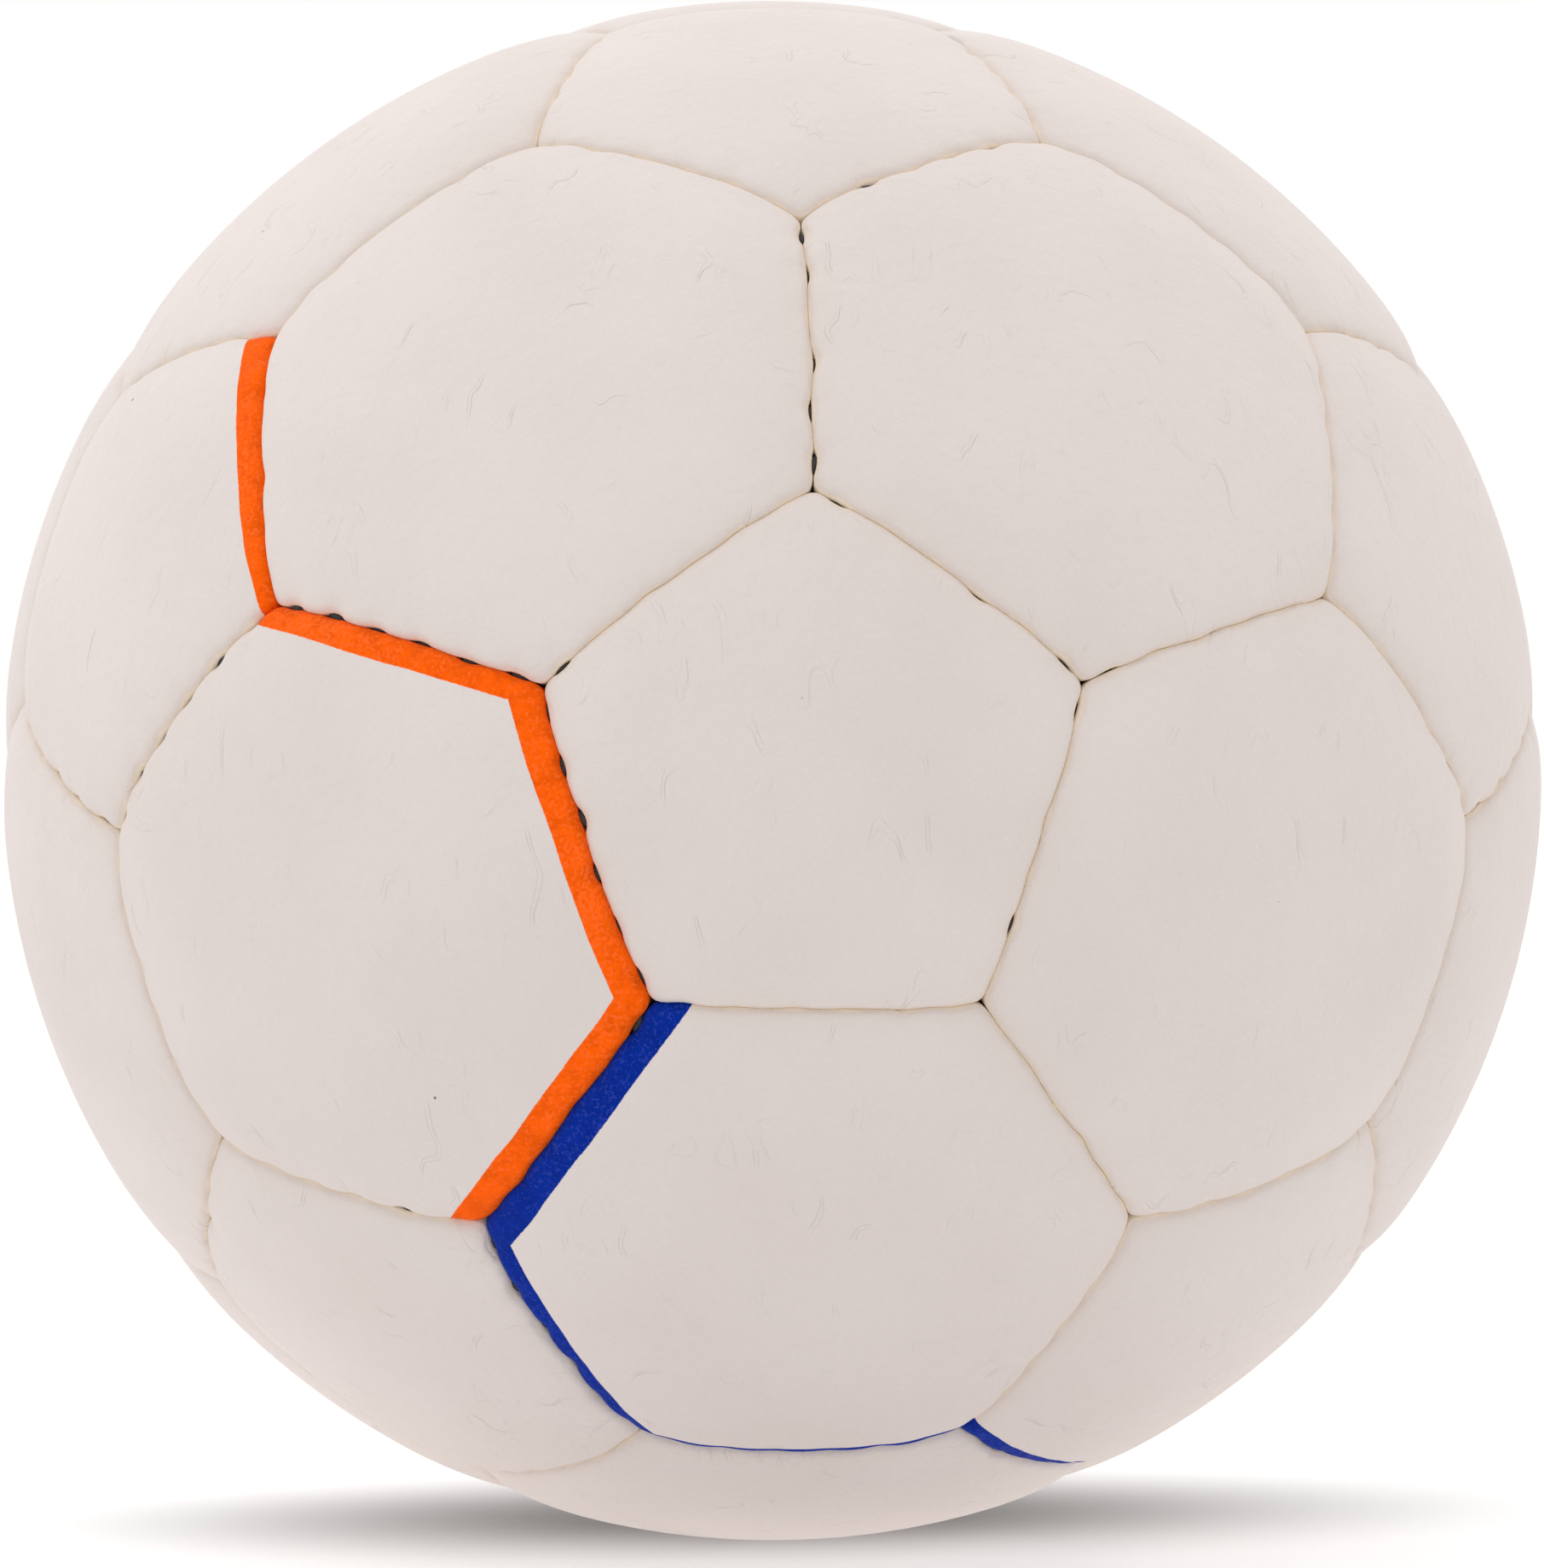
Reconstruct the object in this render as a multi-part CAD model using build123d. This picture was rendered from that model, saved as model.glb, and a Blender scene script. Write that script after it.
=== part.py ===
from build123d import *

import os
from itertools import combinations
from math import acos, atan, cos, degrees, pi, sin, sqrt, tan

# Hand-stitched handball: 12 pentagon and 20 hexagon panels around an inflated bladder.
# Each panel is a soft cover sheet whose edges are turned in, with a foam pad and a cloth
# lining bonded behind it. Two threads a seam are saddle-stitched through the turned-in edges.
# The bladder carries a rubber needle valve, whose core pulls out for replacement.
# Frame: origin at the ball's centre, +Z up, -Y through the middle of the front pentagon,
# which has a corner at its top, and +Y outwards along the valve. Lengths are millimetres.

# Ball, as a match ball is sized: by its girth
BALL_CIRCUMFERENCE = 550.0
BALL_RADIUS = BALL_CIRCUMFERENCE / (2 * pi)

# Layers of a panel, from the outside in, with the glue between them
COVER_THICKNESS = 1.2
FOAM_THICKNESS = 2.0
LINING_THICKNESS = 0.8
GLUE_FILM = 0.1
FOAM_TOP = BALL_RADIUS - COVER_THICKNESS - GLUE_FILM
FOAM_BOTTOM = FOAM_TOP - FOAM_THICKNESS
LINING_TOP = FOAM_BOTTOM - GLUE_FILM
LINING_BOTTOM = LINING_TOP - LINING_THICKNESS

# Edges of a panel: the shoulder that rolls into the seam, and the corners seen from outside
SEAM_GAP = 0.2
SHOULDER_RADIUS = 2.2
CORNER_RADIUS = 3.5
LEAST_INSIDE_RADIUS = 0.3
PAD_CORNER_RADIUS = 1.5
PAD_EDGE_RADIUS = 0.8

# Seam thread and the punched slots that it passes through
STITCHES_PER_SEAM = 6
STITCH_BELOW_SHOULDER = 0.6
THREAD_DIAMETER = 0.8
THREAD_CLEARANCE = 0.1
THREAD_BEND_RADIUS = 0.6
THREAD_END_LENGTH = 0.5
TURNED_EDGE = SEAM_GAP / 2 + COVER_THICKNESS
STITCH_RADIUS = BALL_RADIUS - SHOULDER_RADIUS - STITCH_BELOW_SHOULDER
THREAD_SPACING = THREAD_DIAMETER + THREAD_CLEARANCE
SLOT_LENGTH = THREAD_SPACING + THREAD_DIAMETER + 2 * THREAD_CLEARANCE
SLOT_HEIGHT = THREAD_DIAMETER + 2 * THREAD_CLEARANCE
PAD_INSET = TURNED_EDGE + THREAD_DIAMETER + 2 * THREAD_CLEARANCE

# Bladder
BLADDER_CLEARANCE = 0.2
BLADDER_WALL = 1.0
BLADDER_OUTER = LINING_BOTTOM - BLADDER_CLEARANCE
BLADDER_INNER = BLADDER_OUTER - BLADDER_WALL

# Valve housing, bonded inside the bladder, and the ring that stiffens its panel's hole
VALVE_RECESS = 0.4
VALVE_DIAMETER = 8.0
VALVE_LENGTH = 16.0
VALVE_CLEARANCE = 0.15
FLANGE_DIAMETER = 24.0
FLANGE_THICKNESS = 1.2
RING_DIAMETER = 18.0
VALVE_TOP = BALL_RADIUS - VALVE_RECESS
VALVE_HOLE_RADIUS = VALVE_DIAMETER / 2 + VALVE_CLEARANCE
FLANGE_TOP = BLADDER_INNER - GLUE_FILM

# Valve core, a rubber plug with a blind guide for the inflating needle
CORE_DIAMETER = 4.8
CORE_LENGTH = 14.0
CORE_HEAD_DIAMETER = 6.2
CORE_HEAD_THICKNESS = 1.2
CORE_CLEARANCE = 0.05
CORE_TIP_CHAMFER = 0.8
NEEDLE_BORE_DIAMETER = 2.6
NEEDLE_BORE_DEPTH = 6.0
NEEDLE_MOUTH_CHAMFER = 0.5

# Cutting tools reach this far past what they cut, as shares of the radius that they cut
TOOL_LOW_SHARE = 0.75
TOOL_HIGH_SHARE = 1.1
# An edge counts as lying on a sphere within this share of the sphere's radius
ON_SPHERE_SHARE = 1e-6

# Angles of the panel pattern, in radians: between a pentagon's middle and its neighbours',
# and from each kind of panel's middle to the middle of its own edge
FIFTH_TURN = 2 * pi / 5
PENTAGON_TO_PENTAGON = atan(2)
PENTAGON_TO_HEXAGON = acos(sqrt((5 + 2 * sqrt(5)) / 15))
HEXAGON_HALF_ANGLE = acos(sqrt(5) / 3) / 2
PENTAGON_HALF_ANGLE = PENTAGON_TO_HEXAGON - HEXAGON_HALF_ANGLE
SEAM_HALF_ANGLE = atan(sin(HEXAGON_HALF_ANGLE) * tan(pi / 6))
STITCH_ANGLE = 2 * SEAM_HALF_ANGLE / STITCHES_PER_SEAM
QUARTER_TURN_DEGREES = 90
# Two directions count as neighbours within this angle of the exact one
ANGLE_TOLERANCE = 1e-6

FRONT, UP, RIGHT = Vector(0, -1, 0), Vector(0, 0, 1), Vector(1, 0, 0)


# Panel pattern

def direction(from_front, from_up):
    """Unit vector at an angle from the front, turned from the top towards the right."""
    sideways = UP * cos(from_up) + RIGHT * sin(from_up)
    return FRONT * cos(from_front) + sideways * sin(from_front)


def pentagon_axes():
    """Outward axes of the 12 pentagons: the front one, two rings of five, and the rear one."""
    near = [direction(PENTAGON_TO_PENTAGON, k * FIFTH_TURN) for k in range(5)]
    far = [direction(pi - PENTAGON_TO_PENTAGON, (k + 1 / 2) * FIFTH_TURN) for k in range(5)]
    return [FRONT, *near, *far, -FRONT]


def apart_by(one, other, angle):
    return abs(acos(max(-1, min(1, one.dot(other)))) - angle) < ANGLE_TOLERANCE


def hexagon_axes(pentagons):
    """Outward axes of the 20 hexagons: one between each three neighbouring pentagons."""
    return [
        (a + b + c).normalized()
        for a, b, c in combinations(pentagons, 3)
        if all(apart_by(p, q, PENTAGON_TO_PENTAGON) for p, q in combinations((a, b, c), 2))
    ]


def panel_plane(axis, others):
    """Plane at the ball's centre with Z out through a panel and X towards one of its edges."""
    nearest = max(others, key=axis.dot)
    return Plane(origin=(0, 0, 0), x_dir=nearest - axis * axis.dot(nearest), z_dir=axis)


def seam_planes(axes_a, axes_b, angle, share_of_a):
    """Planes at the ball's centre for the seams of two kinds of panel: Z out through the
    middle of the seam, X along it."""
    planes = []
    for a in axes_a:
        for b in axes_b:
            if a is not b and apart_by(a, b, angle):
                middle = a * sin((1 - share_of_a) * angle) + b * sin(share_of_a * angle)
                planes.append(Plane(origin=(0, 0, 0), x_dir=a.cross(b), z_dir=middle))
    return planes


# Panels

def own_seam(half_angle, turn):
    """Plane at the ball's centre for one edge of a panel whose middle is on Z: Z out through
    the edge's middle, X along the edge, Y towards the panel's side of the seam."""
    middle = (sin(half_angle) * cos(turn), sin(half_angle) * sin(turn), cos(half_angle))
    return Plane(origin=(0, 0, 0), x_dir=(-sin(turn), cos(turn), 0), z_dir=middle)


def own_seams(sides, half_angle):
    return [own_seam(half_angle, 2 * pi * k / sides) for k in range(sides)]


def patch(sides, half_angle, outer, inner, inset, corner_radius, edge_radius=0):
    """Part of a spherical shell, cut to a regular panel by planes that are parallel to its
    seams, an inset away from them. Its corners and its outer rim are rounded."""
    low, high = inner * TOOL_LOW_SHARE, outer * TOOL_HIGH_SHARE
    wedge = Pos(0, 0, (low + high) / 2) * Box(2 * high, 2 * high, high - low)
    for seam in own_seams(sides, half_angle):
        side = Plane(origin=seam.y_dir * inset, z_dir=seam.y_dir)
        wedge = split(wedge, bisect_by=side, keep=Keep.TOP)
    corners = wedge.edges().filter_by(lambda edge: abs((edge @ 0).Z - (edge @ 1).Z) > (high - low) / 2)
    shell = Rot(QUARTER_TURN_DEGREES, 0, 0) * (Sphere(outer) - Sphere(inner))
    panel = fillet(corners, corner_radius) & shell
    if edge_radius:
        reach = outer * ON_SPHERE_SHARE
        rim = panel.edges().filter_by(lambda edge: abs((edge @ 0.5).length - outer) < reach)
        panel = fillet(rim, edge_radius)
    return panel


def stitch_angles():
    """Places of a seam's stitches, as angles from its middle."""
    middle = (STITCHES_PER_SEAM - 1) / 2
    return [(k - middle) * STITCH_ANGLE for k in range(STITCHES_PER_SEAM)]


def seam_slots():
    """Cutters for one seam's punched slots, in the seam's own plane."""
    slot = Box(SLOT_LENGTH, 2 * PAD_INSET, SLOT_HEIGHT)
    return [Rot(0, degrees(angle), 0) * Pos(0, 0, STITCH_RADIUS) * slot for angle in stitch_angles()]


def cover(sides, half_angle):
    """Cover sheet of one panel, Z up: a shallow dish whose turned-in edges are punched."""
    body = patch(
        sides, half_angle, BALL_RADIUS, LINING_BOTTOM, SEAM_GAP / 2, CORNER_RADIUS, SHOULDER_RADIUS
    )
    inside_radius = max(SHOULDER_RADIUS - COVER_THICKNESS, LEAST_INSIDE_RADIUS)
    inside = patch(
        sides,
        half_angle,
        BALL_RADIUS - COVER_THICKNESS,
        LINING_BOTTOM - COVER_THICKNESS,
        TURNED_EDGE,
        CORNER_RADIUS - COVER_THICKNESS,
        inside_radius,
    )
    seams = own_seams(sides, half_angle)
    return body - inside - [seam.location * slot for seam in seams for slot in seam_slots()]


def foam_pad(sides, half_angle):
    return patch(
        sides, half_angle, FOAM_TOP, FOAM_BOTTOM, PAD_INSET, PAD_CORNER_RADIUS, PAD_EDGE_RADIUS
    )


def lining(sides, half_angle):
    return patch(sides, half_angle, LINING_TOP, LINING_BOTTOM, PAD_INSET, PAD_CORNER_RADIUS)


# Thread

def seam_thread(side):
    """One of a seam's two threads, in the seam's own plane: it crosses at each stitch and runs
    to the next one along the inside of the turned-in edge, on alternate sides."""
    across = TURNED_EDGE + THREAD_CLEARANCE + THREAD_DIAMETER / 2
    end = TURNED_EDGE + THREAD_END_LENGTH
    shift = side * THREAD_SPACING / 2 / STITCH_RADIUS

    def point(angle, sideways):
        return (STITCH_RADIUS * sin(angle + shift), sideways, STITCH_RADIUS * cos(angle + shift))

    angles = stitch_angles()
    points = [point(angles[0], -side * end)]
    for angle, following in zip(angles, angles[1:]):
        points += [point(angle, side * across), point(following, side * across)]
        side = -side
    points.append(point(angles[-1], side * end))
    path = FilletPolyline(*points, radius=THREAD_BEND_RADIUS)
    section = Plane(origin=path @ 0, z_dir=path % 0) * Circle(THREAD_DIAMETER / 2)
    return sweep(section, path=path)


def threads(planes):
    """Both threads of every seam."""
    pair = [seam_thread(1), seam_thread(-1)]
    return [plane.location * thread for plane in planes for thread in pair]


# Bladder and valve, with the valve's axis along Z until it is turned to +Y

def post(radius, top, bottom):
    """Solid cylinder on the valve's axis between two distances from the ball's centre."""
    return Pos(0, 0, (top + bottom) / 2) * Cylinder(radius, top - bottom)


def shell_disc(radius, outer, inner):
    """Round piece of a spherical shell on the valve's axis."""
    return (Sphere(outer) - Sphere(inner)) & post(radius, outer, 0)


def bladder():
    hole = post(VALVE_DIAMETER / 2 + CORE_CLEARANCE, VALVE_TOP, BLADDER_INNER * TOOL_LOW_SHARE)
    return Sphere(BLADDER_OUTER) - Sphere(BLADDER_INNER) - hole


def valve_housing():
    bottom = VALVE_TOP - VALVE_LENGTH
    seat = VALVE_TOP - CORE_HEAD_THICKNESS - CORE_CLEARANCE
    stem = post(VALVE_DIAMETER / 2, VALVE_TOP, bottom)
    flange = shell_disc(FLANGE_DIAMETER / 2, FLANGE_TOP, FLANGE_TOP - FLANGE_THICKNESS)
    socket = post(CORE_DIAMETER / 2 + CORE_CLEARANCE, VALVE_TOP, bottom)
    counterbore = post(CORE_HEAD_DIAMETER / 2 + CORE_CLEARANCE, VALVE_TOP, seat)
    return stem + flange - socket - counterbore


def valve_core():
    tip = VALVE_TOP - CORE_LENGTH
    stem = post(CORE_DIAMETER / 2, VALVE_TOP, tip)
    stem = chamfer(stem.edges().group_by(Axis.Z)[0], CORE_TIP_CHAMFER)
    head = post(CORE_HEAD_DIAMETER / 2, VALVE_TOP, VALVE_TOP - CORE_HEAD_THICKNESS)
    needle_bore = post(NEEDLE_BORE_DIAMETER / 2, VALVE_TOP, VALVE_TOP - NEEDLE_BORE_DEPTH)
    core = stem + head - needle_bore
    mouth = core.edges().group_by(Axis.Z)[-1].sort_by(SortBy.RADIUS)[0]
    return chamfer(mouth, NEEDLE_MOUTH_CHAMFER)


def valve_ring():
    ring = shell_disc(RING_DIAMETER / 2, FOAM_TOP, FOAM_BOTTOM)
    return ring - post(VALVE_HOLE_RADIUS, FOAM_TOP, 0)


# Assembly

TO_VALVE = Rot(-QUARTER_TURN_DEGREES, 0, 0)
PENTAGONS = pentagon_axes()
HEXAGONS = hexagon_axes(PENTAGONS)
PENTAGON_PLANES = [panel_plane(axis, HEXAGONS) for axis in PENTAGONS]
HEXAGON_PLANES = [panel_plane(axis, PENTAGONS) for axis in HEXAGONS]


def placed(shape, planes):
    return [plane.location * shape for plane in planes]


def panel_nodes():
    """The 32 covers, each a node of its own. The last pentagon is the valve's."""
    valve_hole = TO_VALVE * post(VALVE_HOLE_RADIUS, BALL_RADIUS * TOOL_HIGH_SHARE, 0)
    pentagons = placed(cover(5, PENTAGON_HALF_ANGLE), PENTAGON_PLANES)
    hexagons = placed(cover(6, HEXAGON_HALF_ANGLE), HEXAGON_PLANES)
    nodes = {f"pentagon_panel_{k:02d}": panel for k, panel in enumerate(pentagons[:-1], 1)}
    nodes["valve_panel"] = pentagons[-1] - valve_hole
    nodes |= {f"hexagon_panel_{k:02d}": panel for k, panel in enumerate(hexagons, 1)}
    return nodes


def backing_nodes():
    """Foam pads and linings, grouped by the kind of panel that they back."""
    ring_hole = TO_VALVE * post(RING_DIAMETER / 2 + VALVE_CLEARANCE, BALL_RADIUS, 0)
    valve_hole = TO_VALVE * post(VALVE_HOLE_RADIUS, BALL_RADIUS, 0)
    pads = placed(foam_pad(5, PENTAGON_HALF_ANGLE), PENTAGON_PLANES)
    linings = placed(lining(5, PENTAGON_HALF_ANGLE), PENTAGON_PLANES)
    pads[-1] -= ring_hole
    linings[-1] -= valve_hole
    return {
        "pentagon_foam_pads": pads,
        "hexagon_foam_pads": placed(foam_pad(6, HEXAGON_HALF_ANGLE), HEXAGON_PLANES),
        "pentagon_linings": linings,
        "hexagon_linings": placed(lining(6, HEXAGON_HALF_ANGLE), HEXAGON_PLANES),
    }


def thread_nodes():
    share = PENTAGON_HALF_ANGLE / PENTAGON_TO_HEXAGON
    mixed = seam_planes(PENTAGONS, HEXAGONS, PENTAGON_TO_HEXAGON, share)
    alike = [
        plane
        for a, b in combinations(HEXAGONS, 2)
        for plane in seam_planes([a], [b], 2 * HEXAGON_HALF_ANGLE, 1 / 2)
    ]
    return {"pentagon_seam_threads": threads(mixed), "hexagon_seam_threads": threads(alike)}


def valve_nodes():
    pieces = {
        "bladder": bladder(),
        "valve_housing": valve_housing(),
        "valve_core": valve_core(),
        "valve_ring": valve_ring(),
    }
    return {name: TO_VALVE * piece for name, piece in pieces.items()}


os.makedirs("parts", exist_ok=True)
for name, piece in (panel_nodes() | backing_nodes() | thread_nodes() | valve_nodes()).items():
    if isinstance(piece, list):
        piece = Compound([solid for shape in piece for solid in shape.solids()])
    export_step(piece, f"parts/{name}.step", write_pcurves=False)
    print(name, len(piece.solids()), round(piece.volume))
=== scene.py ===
import math

import bpy
import numpy as np
from mathutils import Matrix, Vector


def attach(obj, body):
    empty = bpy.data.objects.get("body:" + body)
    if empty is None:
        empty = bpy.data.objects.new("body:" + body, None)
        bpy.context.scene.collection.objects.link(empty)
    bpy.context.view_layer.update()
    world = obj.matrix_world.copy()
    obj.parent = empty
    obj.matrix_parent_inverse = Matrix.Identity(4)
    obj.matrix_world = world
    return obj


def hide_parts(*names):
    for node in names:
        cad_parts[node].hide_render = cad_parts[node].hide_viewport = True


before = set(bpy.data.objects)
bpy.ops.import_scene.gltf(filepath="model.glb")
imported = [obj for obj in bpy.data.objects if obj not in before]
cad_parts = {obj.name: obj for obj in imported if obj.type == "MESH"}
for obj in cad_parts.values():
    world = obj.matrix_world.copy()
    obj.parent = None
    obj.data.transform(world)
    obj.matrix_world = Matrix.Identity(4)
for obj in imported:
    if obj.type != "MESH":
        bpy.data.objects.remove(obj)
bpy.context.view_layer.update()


# Bladder
# A hollow butyl ball, moulded in one piece, which holds the air. It lies loose inside the
# linings and is joined to the rest only at the valve.

class Wire:
    """A socket's value as it varies over a surface. Sums with it add Math nodes."""

    def __init__(self, socket):
        self.socket = socket

    def node(self, kind, settings, inputs, output=0):
        """Adds a node to this socket's material: its settings first, then its sockets."""
        tree = self.socket.id_data
        made = tree.nodes.new(kind)
        for name, value in settings.items():
            setattr(made, name, value)
        for name, value in inputs.items():
            if isinstance(value, Wire):
                tree.links.new(value.socket, made.inputs[name])
            else:
                made.inputs[name].default_value = value
        return Wire(made.outputs[output])

    def math(self, operation, one, other):
        return self.node("ShaderNodeMath", {"operation": operation}, {0: one, 1: other})

    def __add__(self, other):
        return self.math("ADD", self, other)

    def __radd__(self, other):
        return self.math("ADD", other, self)

    def __sub__(self, other):
        return self.math("SUBTRACT", self, other)

    def __rsub__(self, other):
        return self.math("SUBTRACT", other, self)

    def __mul__(self, other):
        return self.math("MULTIPLY", self, other)

    def __rmul__(self, other):
        return self.math("MULTIPLY", other, self)

    def most(self, other):
        return self.math("MAXIMUM", self, other)

    def sine(self):
        return self.math("SINE", self, 0.0)

    def root(self):
        return self.math("SQRT", self, 0.0)

    def rise(self, low, high):
        """0 below low, 1 above high, and a smooth step between them."""
        settings = {"interpolation_type": "SMOOTHSTEP"}
        return self.node("ShaderNodeMapRange", settings, {0: self, 1: low, 2: high})

    def colour(self, one, other):
        """The colour one where this is 0, other where it is 1."""
        return self.node("ShaderNodeMix", {"data_type": "RGBA"}, {0: self, 6: one, 7: other}, 2)

    def noise(self, size, detail=2.0, roughness=0.5):
        """Cloudy noise around this place, whose patches are about size metres across."""
        inputs = {"Vector": self, "Scale": 1 / size, "Detail": detail, "Roughness": roughness}
        return self.node("ShaderNodeTexNoise", {}, inputs)

    def dot(self, direction):
        settings = {"operation": "DOT_PRODUCT"}
        return self.node("ShaderNodeVectorMath", settings, {0: self, 1: direction}, 1)

    def into(self, shader, socket):
        self.socket.id_data.links.new(self.socket, shader.inputs[socket])

    def bump(self, shader, depth):
        """Uses this as the height of a relief, in units of depth metres."""
        relief = self.node("ShaderNodeBump", {}, {"Height": self, "Distance": depth})
        relief.into(shader, "Normal")


def new_finish(name, **sockets):
    """A material, its shader with the sockets that are the same all over, and the place on it."""
    material = bpy.data.materials.new(name)
    material.use_nodes = True
    shader = material.node_tree.nodes["Principled BSDF"]
    for socket, value in sockets.items():
        shader.inputs[socket.replace("_", " ")].default_value = value
    place = material.node_tree.nodes.new("ShaderNodeTexCoord")
    return material, shader, Wire(place.outputs["Object"])


def dress(node, material):
    """Puts a material on a CAD node."""
    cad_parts[node].data.materials.clear()
    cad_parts[node].data.materials.append(material)


MM = 0.001


def rubber(name, dark, pale, roughness):
    """Moulded rubber: cloudy bloom, and a fine pitted skin."""
    material, shader, place = new_finish(name, Specular_IOR_Level=0.4)
    bloom = place.noise(9 * MM, 4.0)
    pits = place.noise(0.35 * MM, 3.0)
    bloom.rise(0.35, 0.7).colour(dark, pale).into(shader, "Base Color")
    (roughness + 0.15 * bloom).into(shader, "Roughness")
    (pits + 0.5 * bloom).bump(shader, 0.04 * MM)
    return material


bladder_butyl = rubber("bladder_butyl", (0.018, 0.018, 0.02, 1), (0.035, 0.034, 0.034, 1), 0.4)
dress("bladder", bladder_butyl)


# Valve
# A rubber housing is bonded inside the bladder and reaches out through a hole in the rear
# pentagon. A softer core plugs it, and pulls out when it no longer holds air.

housing_rubber = rubber("housing_rubber", (0.03, 0.03, 0.032, 1), (0.06, 0.058, 0.056, 1), 0.55)
core_rubber = rubber("core_rubber", (0.012, 0.012, 0.013, 1), (0.025, 0.025, 0.026, 1), 0.35)
dress("valve_housing", housing_rubber)
dress("valve_core", core_rubber)


# Ring around the valve
# A stiff ring of rubberised cloth, let into the foam behind the rear pentagon's cover. It
# keeps the valve's hole from stretching.

def woven(name, dark, pale, pitch, relief):
    """Plain-woven cloth: two sets of crossing yarns, wrapped around the ball."""
    material, shader, place = new_finish(name, Roughness=0.85, Specular_IOR_Level=0.2)
    turn = 2 * math.pi / pitch

    def yarns(direction):
        return place.dot(tuple(turn * part for part in direction)).sine()

    weave = yarns((0.72, 0.41, 0.56)) * yarns((-0.38, 0.9, -0.2))
    fluff = place.noise(0.3 * MM, 3.0)
    tone = (0.5 + 0.35 * weave) * 0.7 + 0.3 * fluff
    tone.colour(dark, pale).into(shader, "Base Color")
    (weave + 0.6 * fluff).bump(shader, relief)
    return material


ring_cloth = woven("ring_cloth", (0.16, 0.15, 0.14, 1), (0.32, 0.3, 0.27, 1), 0.7 * MM, 0.06 * MM)
dress("valve_ring", ring_cloth)


# Linings
# Layers of polyester and cotton cloth, glued together and to the foam. They keep each panel's
# shape under pressure.

GIRTH = 550 * MM
BALL_RADIUS = GIRTH / (2 * math.pi)
HEXAGON_HALF_ANGLE = math.acos(math.sqrt(5) / 3) / 2
PENTAGON_HALF_ANGLE = math.acos(math.sqrt((5 + 2 * math.sqrt(5)) / 15)) - HEXAGON_HALF_ANGLE
LINING_DEPTH = 3.8 * MM
LINING_INSET = 2.3 * MM
lining_cloth = woven("lining_cloth", (0.45, 0.43, 0.38, 1), (0.74, 0.71, 0.64, 1), 0.6 * MM, 0.08 * MM)
for kind, pieces, sides, to_edge in (
    ("pentagon", 12, 5, PENTAGON_HALF_ANGLE),
    ("hexagon", 20, 6, HEXAGON_HALF_ANGLE),
):
    dress(f"{kind}_linings", lining_cloth)
    reach = to_edge * (BALL_RADIUS - LINING_DEPTH) - LINING_INSET
    across = 2 * reach / math.cos(math.pi / sides)
    cut_area = pieces * sides * reach ** 2 * math.tan(math.pi / sides)
    pieces * across


# Foam pads
# Closed-cell foam, cut to the panel's shape and glued behind its cover. It gives under the
# fingers, for a soft grip.

def foam():
    material, shader, place = new_finish("closed_cell_foam", Roughness=0.9, Specular_IOR_Level=0.2)
    cells = place.node("ShaderNodeTexVoronoi", {}, {"Vector": place, "Scale": 1 / (0.5 * MM)})
    tint = place.noise(12 * MM, 3.0)
    tone = 0.7 * cells + 0.5 * tint
    tone.colour((0.62, 0.59, 0.5, 1), (0.84, 0.82, 0.74, 1)).into(shader, "Base Color")
    cells.bump(shader, 0.12 * MM)
    return material


foam_finish = foam()
for node in ("pentagon_foam_pads", "hexagon_foam_pads"):
    dress(node, foam_finish)


# Covers
# Soft-touch sheet, cut to pentagons and hexagons with the edges turned in. Drawn together by
# hand, the panels swell between the stitches, and no seam is quite straight. The bands along
# some seams are printed on the sheet before it is cut.

COVER_THICKNESS = 1.2 * MM
PANEL_THICKNESS = 4.1 * MM
SEAM_HALF_ANGLE = math.atan(math.sin(HEXAGON_HALF_ANGLE) / math.sqrt(3))
STITCHES = 6
USUAL_SLACK_SHARE = 0.06
SLACK_GAPE = 0.1 * MM, 0.3 * MM
LEAST_GAPE = 0.004 * MM
SLOT_REACH = 1.25 * MM
STRAY = 0.4 * MM
STRAY_REACH = 1.8 * MM
BOW = 0.3 * MM
STITCH_PULL = 0.18 * MM
DIMPLE_REACH = 1.5 * MM
ROUNDING = 1e-6


def unit(vector):
    return vector / np.linalg.norm(vector, axis=-1, keepdims=True)


def out_from_front(from_front, from_up):
    return np.array((
        math.sin(from_front) * math.sin(from_up),
        -math.cos(from_front),
        math.sin(from_front) * math.cos(from_up),
    ))


def panel_axes():
    """Name and outward axis of each panel, in the order of the part's own numbers."""
    ring, fifth = math.atan(2), 2 * math.pi / 5
    pentagons = [out_from_front(0, 0)]
    pentagons += [out_from_front(ring, k * fifth) for k in range(5)]
    pentagons += [out_from_front(math.pi - ring, (k + 0.5) * fifth) for k in range(5)]
    pentagons.append(out_from_front(math.pi, 0))
    near = math.cos(ring) - ROUNDING
    hexagons = [
        unit(pentagons[a] + pentagons[b] + pentagons[c])
        for a in range(12) for b in range(a + 1, 12) for c in range(b + 1, 12)
        if pentagons[a] @ pentagons[b] > near
        and pentagons[b] @ pentagons[c] > near
        and pentagons[a] @ pentagons[c] > near
    ]
    axes = {f"pentagon_{k:02d}": axis for k, axis in enumerate(pentagons[:-1], 1)}
    axes["valve"] = pentagons[-1]
    axes |= {f"hexagon_{k:02d}": axis for k, axis in enumerate(hexagons, 1)}
    return axes


def half_angle(name):
    return HEXAGON_HALF_ANGLE if name.startswith("hexagon") else PENTAGON_HALF_ANGLE


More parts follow.
